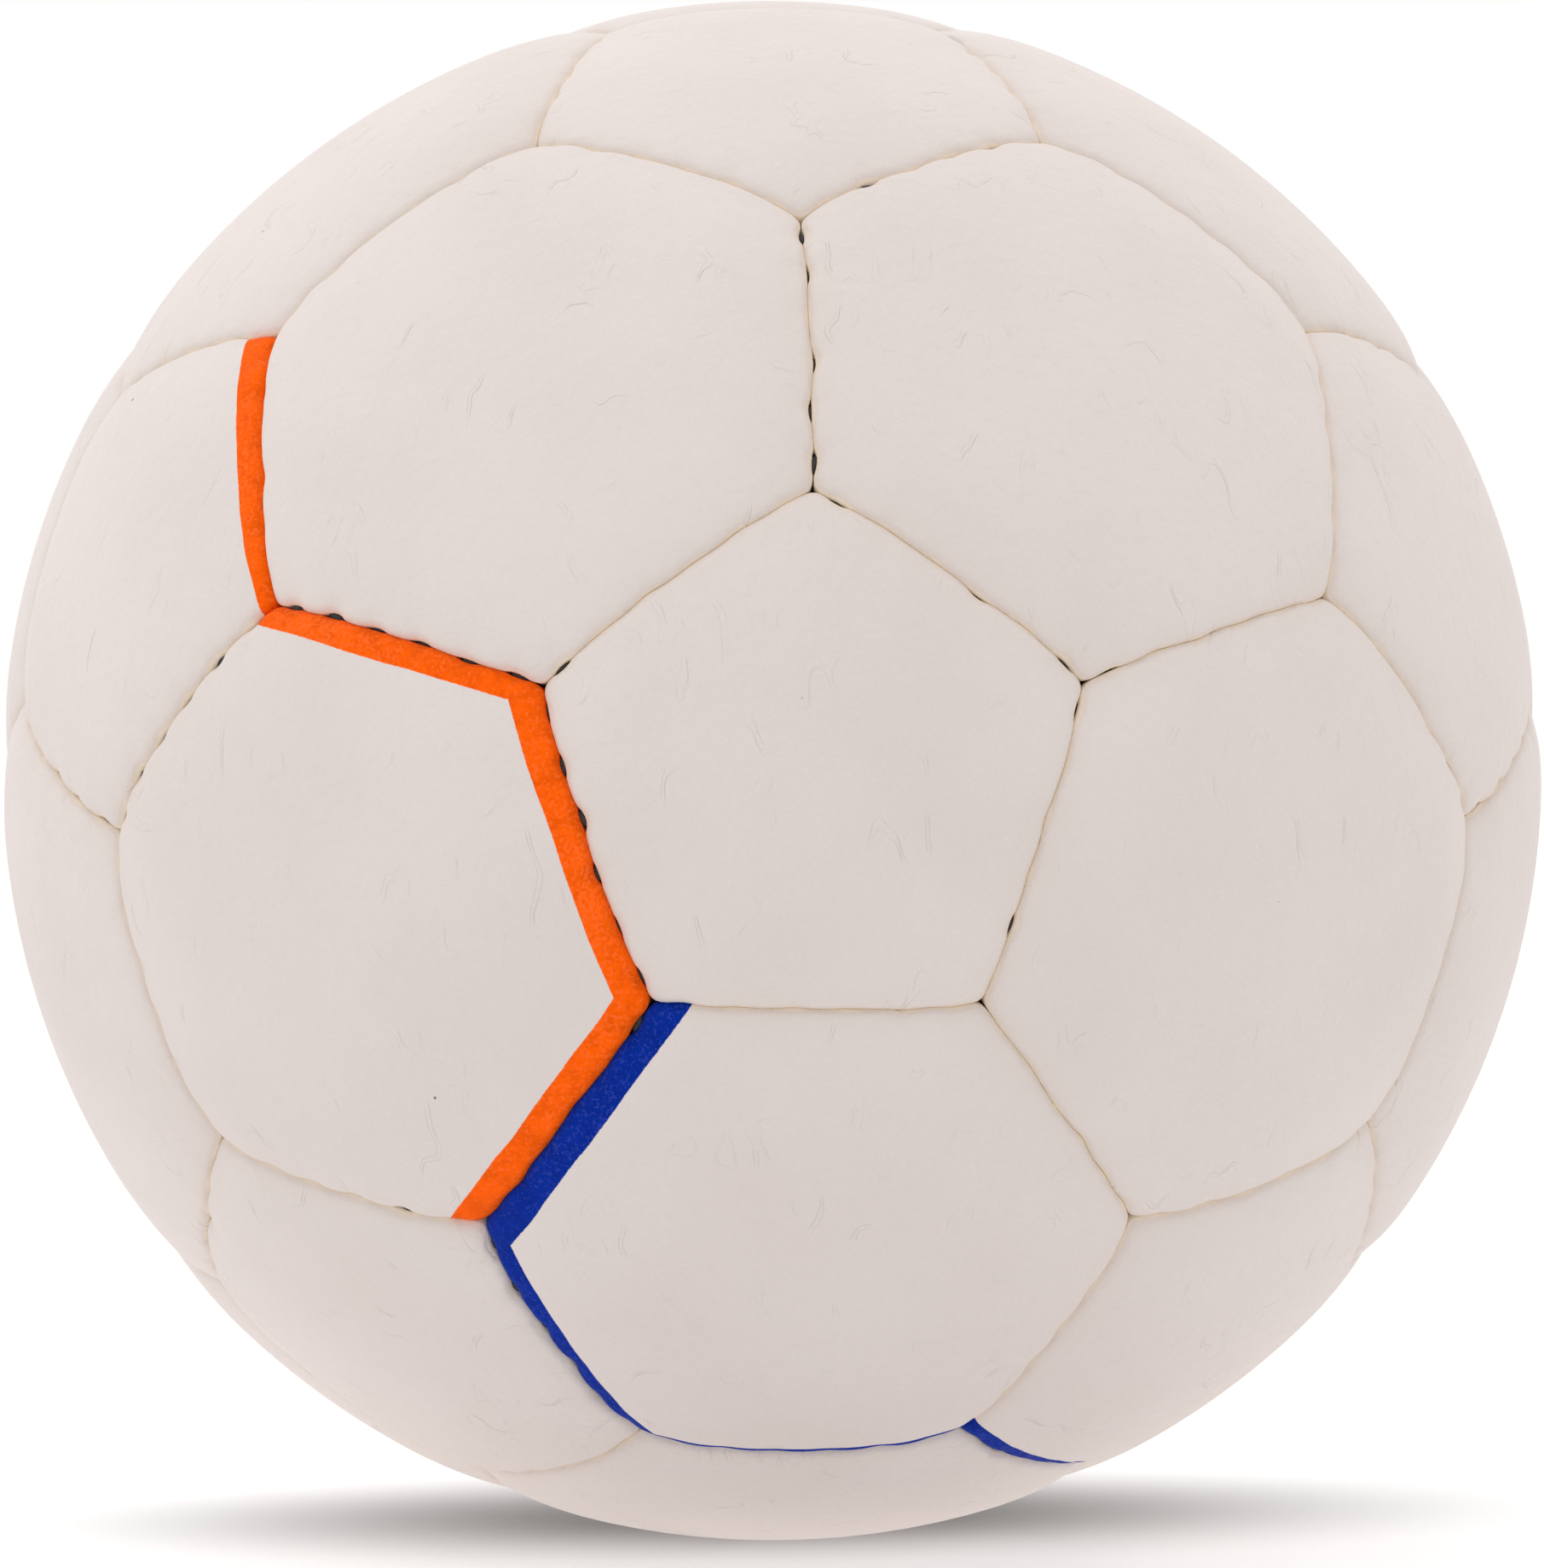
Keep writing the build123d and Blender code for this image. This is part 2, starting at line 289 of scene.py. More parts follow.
class Seam:
    """Where two panels meet: its middle, the way along it, and how its stitches lie."""

    def __init__(self, one, other, axes, chance, slack_share):
        a, b = half_angle(one), half_angle(other)
        self.panels = one, other
        self.middle = unit(math.sin(b) * axes[one] + math.sin(a) * axes[other])
        self.along = unit(np.cross(axes[one], axes[other]))
        self.across = unit(axes[one] - (axes[one] @ self.middle) * self.middle)
        pitch = 2 * SEAM_HALF_ANGLE / STITCHES
        self.stitches = (np.arange(STITCHES) - (STITCHES - 1) / 2) * pitch
        slack = chance.uniform(size=STITCHES) < slack_share
        self.gapes = np.where(slack, chance.uniform(*SLACK_GAPE, STITCHES), 0.0)
        self.strays = chance.uniform(-STRAY, STRAY, STITCHES)
        self.bow = chance.normal(0, 1) * BOW

    def near_stitch(self, angle, reach, bluntness):
        """1 at each stitch, falling to 0 beyond reach from it."""
        apart = (angle[..., None] - self.stitches) * BALL_RADIUS / reach
        return np.exp(-np.abs(apart) ** bluntness)

    def shift(self, angle):
        """How far the seam has wandered towards its first panel, at an angle along it."""
        along = np.abs(angle / SEAM_HALF_ANGLE).clip(0, 1)
        strayed = (self.near_stitch(angle, STRAY_REACH, 2) * self.strays).sum(-1)
        return self.bow * (1 - along ** 2) + strayed * (1 - along ** 6)

    def gape(self, angle):
        """Half the gap between the panels: they touch, but for a slot at each slack stitch."""
        return LEAST_GAPE + (self.near_stitch(angle, SLOT_REACH, 4) * self.gapes).sum(-1)

    def dimple(self, angle):
        """How deep the stitches draw the edges in, the slack ones a little more."""
        pulled = STITCH_PULL + 0.4 * self.gapes
        return (self.near_stitch(angle, DIMPLE_REACH, 2) * pulled).sum(-1)


def all_seams(axes, chance, slack_shares):
    """Every pair of panels that share an edge, with the seam between them."""
    seams = {}
    names = list(axes)
    for i, one in enumerate(names):
        for other in names[i + 1:]:
            reach = half_angle(one) + half_angle(other)
            both_pentagons = not (one.startswith("hexagon") or other.startswith("hexagon"))
            if not both_pentagons and axes[one] @ axes[other] > math.cos(reach) - ROUNDING:
                pair = frozenset((one, other))
                slack_share = slack_shares.get(pair, USUAL_SLACK_SHARE)
                seams[pair] = Seam(one, other, axes, chance, slack_share)
    return seams


DIP_DEPTH = 0.95 * MM
DIP_REACH = 8.5 * MM


def corner_dip(from_corner):
    """How far the panels sink towards a corner where three of them meet."""
    return DIP_DEPTH * np.maximum(0, 1 - from_corner / DIP_REACH) ** 2


def hand_drift(points, chance_waves):
    """Moves points sideways a little, so that the seams wander as hand-sewn ones do."""
    outwards = unit(points)
    moved = np.zeros_like(points)
    for turn_axis, wave, lag, size in chance_waves:
        moved += size * np.cross(turn_axis, outwards) * np.sin(outwards @ wave + lag)[..., None]
    return points + moved


COLUMNS_PER_SEAM = 60
ROW_INSETS = 11, 8.5, 6.5, 5, 3.8, 2.9, 2.2, 1.7, 1.3, 1, 0.75, 0.53, 0.34, 0.19, 0.08, 0
STRAY_FADE = 2.5 * MM
SHARPEST_CORNER = 0.4 * MM
SOFTEST_CORNER = 1.6 * MM
BEYOND_EDGE = 0.6
HALVINGS = 40
SHOULDER_RADIUS = 1.3 * MM
SHOULDER_SLOPE = math.radians(63)
PULL_REACH = 1.8 * MM
DOME_DROP = 0.8 * MM
DOME_REACH = 10 * MM
BORDER_REACH = 4 * MM
LIP_DEPTH = 3.4 * MM
INNER_WALL_DEPTH = 2.9 * MM
VALVE_HOLE_RADIUS = 4.15 * MM


def cover_grid(name, axes, seams, chance_waves):
    """Points of a cover, as rows from its middle out, over its edge and back inside, each row
    a ring of columns around the panel. With them, how deep each point is tucked in at a seam,
    and how near it is to the edge, from 0 to 1."""
    axis = axes[name]
    mine = [seam for seam in seams.values() if name in seam.panels]
    side = [1 if seam.panels[0] == name else -1 for seam in mine]
    facing = unit(mine[0].middle - (mine[0].middle @ axis) * axis)
    beside = np.cross(axis, facing)

    def turn_of(pair):
        middle = pair[0].middle
        return math.atan2(middle @ beside, middle @ facing) % math.tau

    mine, side = zip(*sorted(zip(mine, side), key=turn_of))
    inwards = np.array([s * seam.across for s, seam in zip(side, mine)])

    ways, offsets, pulls = [], [], []
    steps = ((np.arange(COLUMNS_PER_SEAM) + 0.5) / COLUMNS_PER_SEAM * 2 - 1) * SEAM_HALF_ANGLE
    for s, seam in zip(side, mine):
        round_way = unit(np.cross(axis, seam.middle))
        angle = steps * np.sign(round_way @ seam.along)
        edge = np.cos(steps)[:, None] * seam.middle + np.sin(steps)[:, None] * round_way
        ways.append(unit(edge - (edge @ axis)[:, None] * axis))
        offsets.append(seam.gape(angle) + s * seam.shift(angle))
        pulls.append(seam.dimple(angle))
    ways = np.concatenate(ways)
    offsets = np.concatenate(offsets)
    pulls = np.concatenate(pulls)

    def edge_distance(angle, softness):
        """How far inside the nearest edge a point is. Softness blends two edges at a corner."""
        points = np.cos(angle)[..., None] * axis + np.sin(angle)[..., None] * ways
        each = BALL_RADIUS * np.arcsin((points @ inwards.T).clip(-1, 1))
        return -softness * np.log(np.exp(-each / softness).sum(-1))

    def angle_at(inset):
        """How far out the line is that keeps this far inside the edge. It rounds the corners."""
        wanted = inset + offsets * math.exp(-inset / STRAY_FADE)
        corner_softness = min(SHARPEST_CORNER + 0.35 * inset, SOFTEST_CORNER)
        low = np.zeros(len(ways))
        high = np.full(len(ways), BEYOND_EDGE)
        for _ in range(HALVINGS):
            middle = (low + high) / 2
            inside = edge_distance(middle, corner_softness) > wanted
            low = np.where(inside, middle, low)
            high = np.where(inside, high, middle)
        return low

    def tuck_at(inset):
        """How deep the edge is rolled in and drawn in by its stitches."""
        over_edge = max(0.0, SHOULDER_RADIUS * math.sin(SHOULDER_SLOPE) - inset)
        roll = SHOULDER_RADIUS - math.sqrt(SHOULDER_RADIUS ** 2 - over_edge ** 2)
        return roll + math.exp(-((inset / PULL_REACH) ** 2)) * pulls

    ends = np.array([
        math.cos(SEAM_HALF_ANGLE) * seam.middle + end * math.sin(SEAM_HALF_ANGLE) * seam.along
        for seam in mine for end in (1, -1)
    ])

    def dome_at(inset, angle):
        """How far the panel falls away from the ball towards its edges, and more to its corners."""
        points = np.cos(angle)[:, None] * axis + np.sin(angle)[:, None] * ways
        from_corner = BALL_RADIUS * np.sqrt(2 - 2 * (points @ ends.T).max(-1).clip(max=1))
        to_edge = max(0.0, 1 - inset / DOME_REACH)
        return DOME_DROP * to_edge ** 2 + corner_dip(from_corner)

    insets = [inset * MM for inset in ROW_INSETS]
    outer = []
    for inset in insets:
        angle = angle_at(inset)
        outer.append((angle, tuck_at(inset) + dome_at(inset, angle)))
    tucks = [tuck_at(inset) for inset in insets]
    lip, inner_wall = angle_at(0), angle_at(COVER_THICKNESS)
    far = angle_at(6 * MM)
    back = [
        (lip, LIP_DEPTH),
        (lip, PANEL_THICKNESS),
        (inner_wall, PANEL_THICKNESS),
        (inner_wall, INNER_WALL_DEPTH),
        (angle_at(2.3 * MM), COVER_THICKNESS + 0.4 * MM),
        (far, COVER_THICKNESS + 0.32 * MM),
    ]
    if name == "valve":
        hole = np.full(len(ways), VALVE_HOLE_RADIUS / BALL_RADIUS)
        rim = [(hole, 0.6 * MM), (hole + 0.0012, 0.2 * MM), (hole + 0.005, 0.03 * MM)]
        start = rim + [(hole + share * (outer[0][0] - hole), 0.0) for share in (0.2, 0.45, 0.7)]
        back += [(hole + share * (far - hole), COVER_THICKNESS) for share in (0.5, 0)]
    else:
        start = [(share * outer[0][0], 0.0) for share in (0.08, 0.25, 0.42, 0.58, 0.72, 0.86)]
        back += [(share * far, COVER_THICKNESS) for share in (0.55, 0.15)]
    rows = []
    for angle, depth in start + outer + back:
        outwards = np.cos(angle)[:, None] * axis + np.sin(angle)[:, None] * ways
        rows.append(outwards * (BALL_RADIUS - np.broadcast_to(depth, angle.shape))[:, None])
    tucked = [0 * lip] * len(start) + tucks + [tucks[-1]] * len(back)
    borders = [max(0.0, 1 - inset / BORDER_REACH) for inset in insets]
    border = [0.0] * len(start) + borders + [1.0] * len(back)
    return hand_drift(np.array(rows), chance_waves), np.array(tucked), np.repeat(border, len(ways))


def closed_skin(name, grid, joined):
    """A closed mesh of a grid's rings. Joined, its last ring meets its first; otherwise a point
    closes each end."""
    rows, columns = grid.shape[:2]
    points = grid.reshape(-1, 3)
    place = np.arange(rows * columns).reshape(rows, columns)
    here, beside = place, np.roll(place, -1, axis=1)
    last = rows if joined else rows - 1
    following, beside_following = np.roll(here, -1, axis=0), np.roll(beside, -1, axis=0)
    quads = np.stack((here, following, beside_following, beside), -1)[:last].reshape(-1, 4)
    faces = quads.tolist()
    if not joined:
        ends = unit(grid[0].mean(0)) * np.linalg.norm(grid[0], axis=-1).mean(), grid[-1].mean(0)
        points = np.concatenate((points, np.array(ends)))
        first, second = rows * columns, rows * columns + 1
        faces += [(first, int(a), int(b)) for a, b in zip(here[0], beside[0])]
        faces += [(int(a), second, int(b)) for a, b in zip(here[-1], beside[-1])]
    mesh = bpy.data.meshes.new(name)
    mesh.from_pydata(points.tolist(), [], faces)
    mesh.polygons.foreach_set("use_smooth", [True] * len(mesh.polygons))
    mesh.update()
    return mesh


WHITE_SHEET = (0.83, 0.752, 0.722, 1)
WARM_SHEET = (0.80, 0.717, 0.678, 1)
# Painted shade and painted light in the seams: a darker warm cream down the grooves and along the
# edges, paler at the groove bottoms.
SEAM_WARM_PAINTED_SHADE = (0.74, 0.63, 0.52, 1)
SEAM_BOTTOM_PAINTED_LIGHT = (0.92, 0.80, 0.67, 1)
ORANGE_PRINT = (0.98, 0.12, 0.0, 1)
BLUE_PRINT = (0.0, 0.026, 0.34, 1)
# Painted light: a faint glow of the orange print's own.
ORANGE_PAINTED_GLOW = (0.15, 0.012, 0.0, 1)
NO_GLOW = (0, 0, 0, 1)
SPECK = (0.06, 0.05, 0.045, 1)


def cover_finish(name, bands):
    """Suede-like sheet with faint hair creases and specks. In and along the seams it has painted
    shade, warm and darker towards each edge, and painted light, paler, at the bottom of each
    groove. Each band is a print along one edge: its inward and lengthwise directions, its width
    in millimetres at both ends and its colour."""
    material, shader, place = new_finish(
        name,
        Specular_IOR_Level=0.05,
        Sheen_Weight=0.03,
        Sheen_Roughness=0.5,
    )
    tuck = place.node("ShaderNodeAttribute", {"attribute_name": "tucked"}, {}, 2)
    cloud = place.noise(22 * MM, 3.0)
    nap = place.noise(0.5 * MM, 4.0, 0.65)
    wrinkle = place.noise(1.7 * MM, 3.0)
    sway = place.noise(9 * MM, 1.0)
    flecks = (place.noise(0.45 * MM, 2.0, 0.7) + 0.35 * cloud).rise(0.68, 0.8)
    sheet = (cloud * 0.7 + nap * 0.3).rise(0.3, 0.75).colour(WHITE_SHEET, WARM_SHEET)

    stretch = {"operation": "MULTIPLY"}
    upright = place.node("ShaderNodeVectorMath", stretch, {0: place, 1: (1, 1, 0.4)})
    ripple = upright.noise(5 * MM, 1.5) - 0.5
    here_and_there = place.noise(6 * MM, 1.0).rise(0.52, 0.7)
    crease = (1 - (ripple * ripple).rise(0.0, 0.001)) * here_and_there

    scatter = {"Vector": place, "Scale": 1 / (11 * MM), "Randomness": 1.0}
    spots = place.node("ShaderNodeTexVoronoi", {}, scatter)
    rare = place.noise(30 * MM, 1.0).rise(0.5, 0.54)
    speck = (1 - spots.rise(0.012, 0.022)) * rare

    # Painted shade: a darker warm cream down into each groove and along the panel's edges. Painted
    # light: the bottom of each groove paler.
    groove = tuck.rise(0.0, 0.45)
    deep = tuck.rise(0.35, 0.75)
    border = place.node("ShaderNodeAttribute", {"attribute_name": "border"}, {}, 2)
    painted_seam_shade = (groove * 0.28).most(border * border * 0.18)
    tone = deep.colour(painted_seam_shade.colour(sheet, SEAM_WARM_PAINTED_SHADE), SEAM_BOTTOM_PAINTED_LIGHT)
    painted_glow = NO_GLOW
    length = 2 * SEAM_HALF_ANGLE * BALL_RADIUS
    for inwards, lengthwise, wide_start, wide_end, ink in bands:
        taper = (wide_end - wide_start) / length * MM
        width = (wide_start + wide_end) / 2 + place.dot(tuple(lengthwise / MM)) * taper
        ragged = width + 0.2 * (nap - 0.5) + 0.6 * (sway - 0.5) - place.dot(tuple(inwards / MM))
        dull = tuple(0.8 * part for part in ink[:3]) + (1,)
        worn = tuple(min(1, 1.05 * part + 0.018) for part in ink)
        rubbed = (0.5 * nap + 0.5 * wrinkle).rise(0.4, 0.58)
        print_tone = flecks.colour(rubbed.colour(dull, ink), worn)
        printed = ragged.rise(-0.06, 0.06)
        tone = printed.colour(tone, print_tone)
        # Painted light: the orange print glows a little, also where no lamp reaches it.
        ink_painted_glow = ORANGE_PAINTED_GLOW if ink == ORANGE_PRINT else NO_GLOW
        painted_glow = (printed * (1 - groove)).colour(painted_glow, ink_painted_glow)
    tone = (speck * 0.85).colour(tone, SPECK)
    tone.into(shader, "Base Color")
    if bands:
        shader.inputs["Emission Strength"].default_value = 1
        painted_glow.into(shader, "Emission Color")
    (0.66 + 0.14 * nap).into(shader, "Roughness")
    (0.8 * nap + 2.2 * wrinkle + 1.1 * crease).bump(shader, 0.09 * MM)
    return material


AXES = panel_axes()
BANDS = {}


def band(panel, neighbour, wide_start, wide_end, start_towards, ink):
    """A printed band on a panel along its edge with a neighbour, with its widths in millimetres.
    The first width is at the end of that edge which is nearer to a third panel."""
    BANDS.setdefault(panel, []).append((neighbour, wide_start, wide_end, start_towards, ink))


TOP, RIGHT, LOWER_RIGHT, LOWER_LEFT, LEFT = (f"pentagon_{k:02d}" for k in range(2, 7))
UPPER_RIGHT_HEXAGON, UPPER_LEFT_HEXAGON, RIGHT_HEXAGON, BOTTOM_HEXAGON, LEFT_HEXAGON = (
    f"hexagon_{k:02d}" for k in range(1, 6))
FRONT = "pentagon_01"


def panel_towards(direction):
    return max(AXES, key=lambda name: AXES[name] @ unit(direction))


def half_turned(name):
    """The panel where this one comes to lie when the ball is turned over about X."""
    return panel_towards(AXES[name] * np.array((1, -1, -1)))


UNDER_HEXAGON = panel_towards(AXES[LOWER_LEFT] + AXES[LOWER_RIGHT] + np.array((0, 0.2, -1.0)))
BEHIND_TOP = panel_towards(AXES[TOP] + np.array((0.5, 0.6, 0.2)))
FRONT_BANDS = [
    (LEFT, UPPER_LEFT_HEXAGON, 1.5, 3.0, LEFT_HEXAGON, ORANGE_PRINT),
    (LEFT_HEXAGON, UPPER_LEFT_HEXAGON, 2.5, 2.3, LEFT, ORANGE_PRINT),
    (LEFT_HEXAGON, FRONT, 3.7, 3.0, UPPER_LEFT_HEXAGON, ORANGE_PRINT),
    (LEFT_HEXAGON, BOTTOM_HEXAGON, 3.5, 3.2, FRONT, ORANGE_PRINT),
    (BOTTOM_HEXAGON, LEFT_HEXAGON, 3.4, 3.7, FRONT, BLUE_PRINT),
    (BOTTOM_HEXAGON, LOWER_LEFT, 3.2, 2.2, LEFT_HEXAGON, BLUE_PRINT),
    (BOTTOM_HEXAGON, UNDER_HEXAGON, 1.7, 1.7, LOWER_LEFT, BLUE_PRINT),
    (LOWER_RIGHT, UNDER_HEXAGON, 2.4, 1.2, BOTTOM_HEXAGON, BLUE_PRINT),
]
for panel, neighbour, wide_start, wide_end, towards, ink in FRONT_BANDS:
    band(panel, neighbour, wide_start, wide_end, towards, ink)
    band(half_turned(panel), half_turned(neighbour), wide_start, wide_end, half_turned(towards), ink)
band(TOP, BEHIND_TOP, -5.0, 3.0, UPPER_RIGHT_HEXAGON, BLUE_PRINT)

chance = np.random.default_rng(8)
RIGHT_REAR_HEXAGON = panel_towards(AXES[RIGHT] + np.array((0.3, 0.1, -0.9)))
LEFT_REAR_HEXAGON = panel_towards(AXES[LEFT] + np.array((-0.3, 0.1, -0.9)))
SLACK_SHARES = {}
for one, other, share in (
    (UPPER_LEFT_HEXAGON, LEFT_HEXAGON, 1.0),
    (FRONT, LEFT_HEXAGON, 1.0),
    (LEFT, LEFT_HEXAGON, 0.8),
    (LEFT, UPPER_LEFT_HEXAGON, 0.3),
    (LEFT, LEFT_REAR_HEXAGON, 0.6),
    (BOTTOM_HEXAGON, LOWER_LEFT, 0.8),
    (BOTTOM_HEXAGON, LEFT_HEXAGON, 0.4),
    (UPPER_LEFT_HEXAGON, UPPER_RIGHT_HEXAGON, 0.5),
    (FRONT, UPPER_RIGHT_HEXAGON, 0.5),
    (FRONT, RIGHT_HEXAGON, 0.3),
    (TOP, UPPER_RIGHT_HEXAGON, 0.6),
    (UPPER_RIGHT_HEXAGON, RIGHT_HEXAGON, 0.3),
    (RIGHT, RIGHT_REAR_HEXAGON, 0.8),
):
    SLACK_SHARES[frozenset((one, other))] = share
    SLACK_SHARES[frozenset((half_turned(one), half_turned(other)))] = share
SEAMS = all_seams(AXES, chance, SLACK_SHARES)
DRIFT_WAVES = 6
DRIFT_SIZE = 0.22 * MM
DRIFT = [
    (
        unit(chance.normal(size=3)),
        chance.normal(size=3) * 3.5,
        chance.uniform(0, math.tau),
        DRIFT_SIZE,
    )
    for _ in range(DRIFT_WAVES)
]
plain_cover = cover_finish("cover_sheet", [])
for name in AXES:
    grid, tucked, border = cover_grid(name, AXES, SEAMS, DRIFT)
    skin = closed_skin(f"{name}_cover", grid, name == "valve")
    for measure, values in (("tucked", tucked.reshape(-1) / MM), ("border", border)):
        spread = np.zeros(len(skin.vertices))
        spread[:values.size] = values
        skin.attributes.new(measure, "FLOAT", "POINT").data.foreach_set("value", spread)
    piece = bpy.data.objects.new(f"{name}_cover", skin)
    bpy.context.scene.collection.objects.link(piece)
    printed = []
    for neighbour, wide_start, wide_end, towards, ink in BANDS.get(name, []):
        seam = SEAMS[frozenset((name, neighbour))]
        inwards = seam.across if seam.panels[0] == name else -seam.across
        lengthwise = seam.along if seam.along @ AXES[towards] < 0 else -seam.along
        printed.append((inwards, lengthwise, wide_start, wide_end, ink))
    piece.data.materials.append(cover_finish(f"{name}_print", printed) if printed else plain_cover)
    node = "valve_panel" if name == "valve" else name.replace("_", "_panel_")
    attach(piece, "ball")
    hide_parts(node)


# Seam threads
# Waxed polyester thread, sewn with two needles from the inside: at each stitch both threads
# cross from panel to panel through the turned-in edges, then run along behind them.

THREAD_RADIUS = 0.4 * MM
THREAD_SIDES = 8
BEHIND_EDGE = 1.75 * MM
THREAD_DEPTH = 3.5 * MM
SLACK_LIFT = 1.9
CROSSING = (-1, -1.5, 0), (-0.14, -0.9, 0.75), (0, 0, 1), (0.14, 0.9, 0.75), (1, 1.5, 0)


def strand_path(seam, side):
    """Points along one thread of a seam. At each stitch it crosses from one panel to the other:
    each step of a crossing gives its share of the way over, millimetres onward and lift."""
    lift = (0.8 + 0.1 * side) * MM
    points = []
    way = side
    for stitch, gape in zip(seam.stitches, seam.gapes):
        for share, onward, lifted in CROSSING:
            angle = stitch + onward * MM / BALL_RADIUS
            drift = float(seam.shift(np.array(angle)))
            sunk = corner_dip(BALL_RADIUS * (SEAM_HALF_ANGLE - abs(angle)))
            across = way * share * BEHIND_EDGE + drift
            depth = THREAD_DEPTH + sunk - lifted * (lift + SLACK_LIFT * gape)
            points.append((angle, across, depth))
        way = -way
    points = np.array(points)
    smooth = []
    padded = np.concatenate((points[:1], points, points[-1:]))
    for a, b, c, d in zip(padded, padded[1:], padded[2:], padded[3:]):
        for t in (0.0, 0.5):
            smooth.append(0.5 * (2 * b + (c - a) * t + (2 * a - 5 * b + 4 * c - d) * t ** 2
                                 + (3 * b - a - 3 * c + d) * t ** 3))
    smooth.append(points[-1])
    angle, across, depth = np.array(smooth).T
    outwards = np.cos(angle)[:, None] * seam.middle + np.sin(angle)[:, None] * seam.along
    places = outwards * (BALL_RADIUS - depth)[:, None] + across[:, None] * seam.across
    return hand_drift(places, DRIFT)


def strand_rings(path):
    """Rings of a round thread along a path."""
    forward = unit(np.gradient(path, axis=0))
    sideways = unit(np.cross(forward, unit(path) + 0.3 * np.roll(forward, 1, axis=1)))
    upwards = np.cross(sideways, forward)
    turn = (np.arange(THREAD_SIDES) / THREAD_SIDES * math.tau)[None, :, None]
    ring = np.cos(turn) * sideways[:, None] + np.sin(turn) * upwards[:, None]
    return path[:, None] + THREAD_RADIUS * ring


def thread_finish():
    """Black waxed thread: fine fibres and a dull shine."""
    material, shader, place = new_finish("waxed_thread", Specular_IOR_Level=0.45)
    fibres = place.noise(0.18 * MM, 3.0, 0.7)
    wax = place.noise(2.5 * MM, 2.0)
    tone = fibres.rise(0.3, 0.75).colour((0.008, 0.008, 0.009, 1), (0.05, 0.048, 0.046, 1))
    tone.into(shader, "Base Color")
    (0.45 + 0.3 * wax).into(shader, "Roughness")
    fibres.bump(shader, 0.08 * MM)
    return material


black_thread = thread_finish()
for node, kinds in (("pentagon_seam_threads", 1), ("hexagon_seam_threads", 2)):
    points, faces = [], []
    for seam in SEAMS.values():
        if sum(panel.startswith("hexagon") for panel in seam.panels) != kinds:
            continue
        for side in (1, -1):
            rings = strand_rings(strand_path(seam, side))
            rows, columns = rings.shape[:2]
            place = np.arange(rows * columns).reshape(rows, columns) + len(points) * rows * columns
            beside = np.roll(place, -1, axis=1)
            quads = np.stack((place[:-1], beside[:-1], beside[1:], place[1:]), -1)
            faces += quads.reshape(-1, 4).tolist()
            faces += [place[0][::-1].tolist(), place[-1].tolist()]
            points.append(rings.reshape(-1, 3))
    mesh = bpy.data.meshes.new(node.replace("threads", "thread_runs"))
    mesh.from_pydata(np.concatenate(points).tolist(), [], faces)
    mesh.polygons.foreach_set("use_smooth", [True] * len(mesh.polygons))
    mesh.update()
    mesh.materials.append(black_thread)
    piece = bpy.data.objects.new(mesh.name, mesh)
    bpy.context.scene.collection.objects.link(piece)
    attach(piece, "ball")
    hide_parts(node)


# Floor, light and camera
# A white sweep that glows from below, under a white sky. A painted shadow, a soft grey patch
# where the ball rests, darkens it, most of all to the camera. Near the ball it glows brighter for
# the light that reaches the ball than for the camera: painted light on the ball's underside.
# One large soft lamp hangs in front, to the upper left.

def seen_by_eye(tree):
    """1 for what the camera sees, also in a mirror or through glass; 0 for what lights the ball."""
    rays = tree.nodes.new("ShaderNodeLightPath").outputs
    straight = Wire(rays["Is Camera Ray"])
    mirrored = Wire(rays["Is Glossy Ray"])
    through_glass = Wire(rays["Is Transmission Ray"])
    return straight.most(mirrored).most(through_glass)


floor_reach = 30.0
corners = [(x * floor_reach, y * floor_reach, 0) for x, y in ((-1, -1), (1, -1), (1, 1), (-1, 1))]
floor_mesh = bpy.data.meshes.new("floor")
floor_mesh.from_pydata(corners, [], [(0, 1, 2, 3)])
floor = bpy.data.objects.new("floor", floor_mesh)
floor.location.z = -BALL_RADIUS
bpy.context.scene.collection.objects.link(floor)
sweep = bpy.data.materials.new("white_sweep")
sweep.use_nodes = True
tree = sweep.node_tree
tree.nodes.clear()
seen = seen_by_eye(tree)
place = Wire(tree.nodes.new("ShaderNodeTexCoord").outputs["Object"])
shadow_squeeze = 0.93
shadow_squash = 1.6
shadow_offset = 39
beside = place.dot((shadow_squeeze / MM, 0, 0))
behind = place.dot((0, shadow_squash / MM, 0)) - shadow_offset
from_rest = (beside * beside + behind * behind).root()
# Painted shadow: a grey patch on the sweep, centred a little behind where the ball rests.
painted_shadow = 1 - from_rest.rise(12, 95)
shadow_grey = painted_shadow.colour((0.7, 0.7, 0.7, 1), (0.26, 0.26, 0.26, 1))
paper = painted_shadow.node("ShaderNodeBsdfDiffuse", {}, {"Color": shadow_grey})
# Painted light: the sweep glows brighter near the ball for light that reaches the ball than for the
# camera.
under_ball = 0.58 - 0.36 * from_rest.rise(40, 150)
brightness = under_ball + seen * (0.4 - 0.35 * painted_shadow - under_ball)
glow_tone = brightness.colour((0, 0, 0, 1), (1, 1, 1, 1))
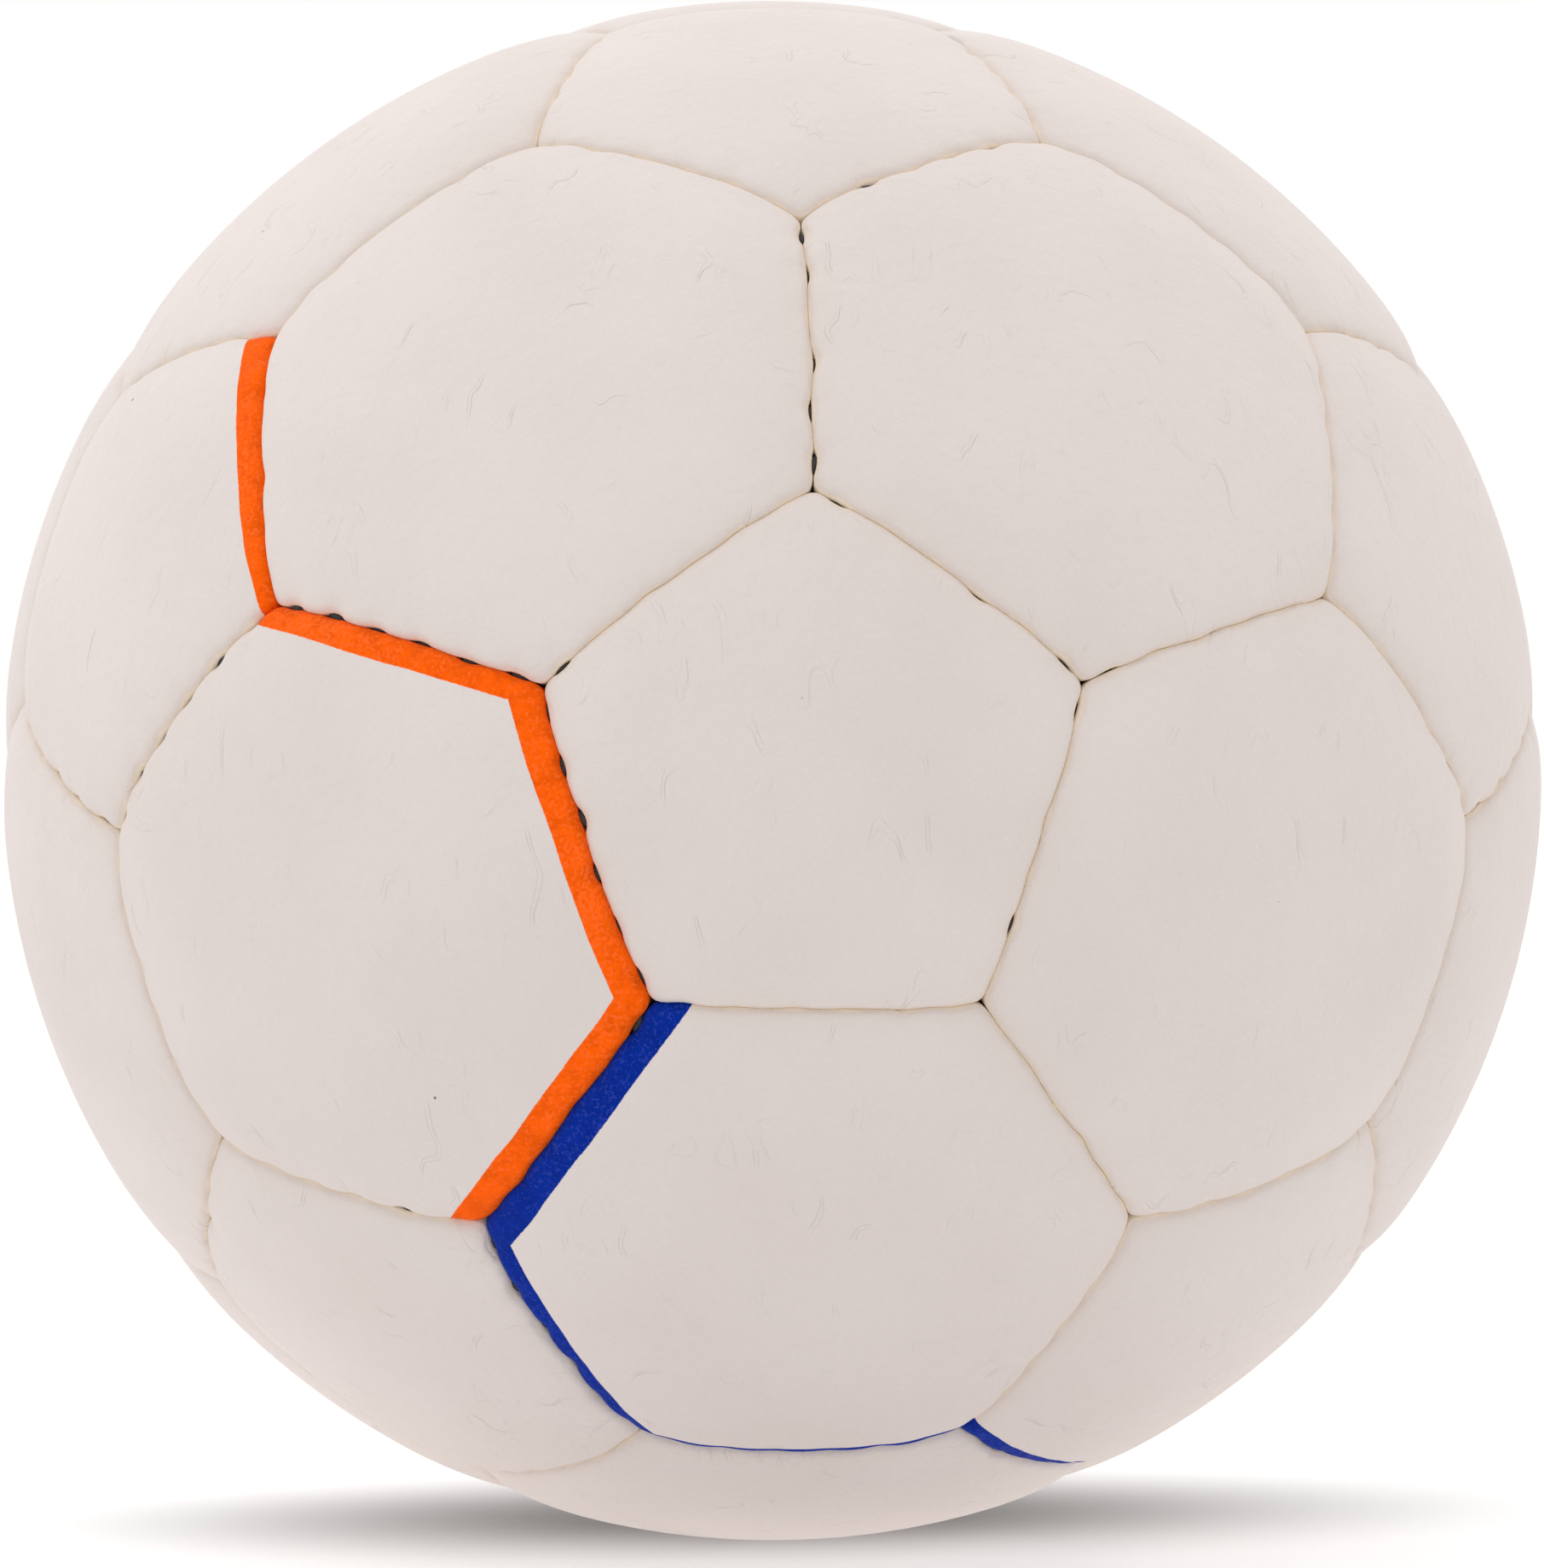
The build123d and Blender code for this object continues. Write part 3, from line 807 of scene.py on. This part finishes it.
painted_glow = painted_shadow.node("ShaderNodeEmission", {}, {"Color": glow_tone, "Strength": 1.0})
both = paper.node("ShaderNodeAddShader", {}, {0: paper, 1: painted_glow})
both.into(tree.nodes.new("ShaderNodeOutputMaterial"), "Surface")
floor_mesh.materials.append(sweep)

world = bpy.data.worlds.new("white_sky")
world.use_nodes = True
bpy.context.scene.world = world
tree = world.node_tree
sky = tree.nodes["Background"]
sky.inputs["Color"].default_value = (1, 1, 1, 1)
way = Wire(tree.nodes.new("ShaderNodeTexCoord").outputs["Generated"])
sky_middle = 0.96
sky_tilt = 0.47
sky_level = sky_middle + way.dot((0.0, sky_tilt, 0.0))
(sky_level + seen_by_eye(tree) * (1 - sky_level)).into(sky, "Strength")

lamp = bpy.data.lights.new("soft_lamp", "AREA")
lamp.size = 1.6
lamp.energy = 9
soft_lamp = bpy.data.objects.new("soft_lamp", lamp)
bpy.context.scene.collection.objects.link(soft_lamp)
soft_lamp.location = (-0.45, -0.8, 1.9)
soft_lamp.rotation_euler = (-soft_lamp.location).to_track_quat("-Z", "Y").to_euler()

radii_away = 9.4
away = radii_away * BALL_RADIUS
ball_share_of_picture = 0.982
camera = bpy.data.cameras.new("camera")
camera.sensor_fit = "VERTICAL"
camera.sensor_height = 36
camera.lens = camera.sensor_height * ball_share_of_picture / 2 * math.sqrt(radii_away ** 2 - 1)
camera.clip_end = 100
eye = bpy.data.objects.new("camera", camera)
bpy.context.scene.collection.objects.link(eye)
azimuth = math.radians(-3.18)
elevation = math.radians(0.18)
roll = math.radians(0.52)
eye.location = (
    away * math.sin(azimuth) * math.cos(elevation),
    -away * math.cos(azimuth) * math.cos(elevation),
    away * math.sin(elevation),
)
aim_below_middle = 1.54 * MM
aim = Vector((0, 0, -aim_below_middle)) - eye.location
upright_view = aim.to_track_quat("-Z", "Y").to_matrix()
eye.rotation_euler = (upright_view @ Matrix.Rotation(-roll, 3, "Z")).to_euler()
bpy.context.scene.camera = eye
bpy.context.scene.view_settings.view_transform = "Standard"
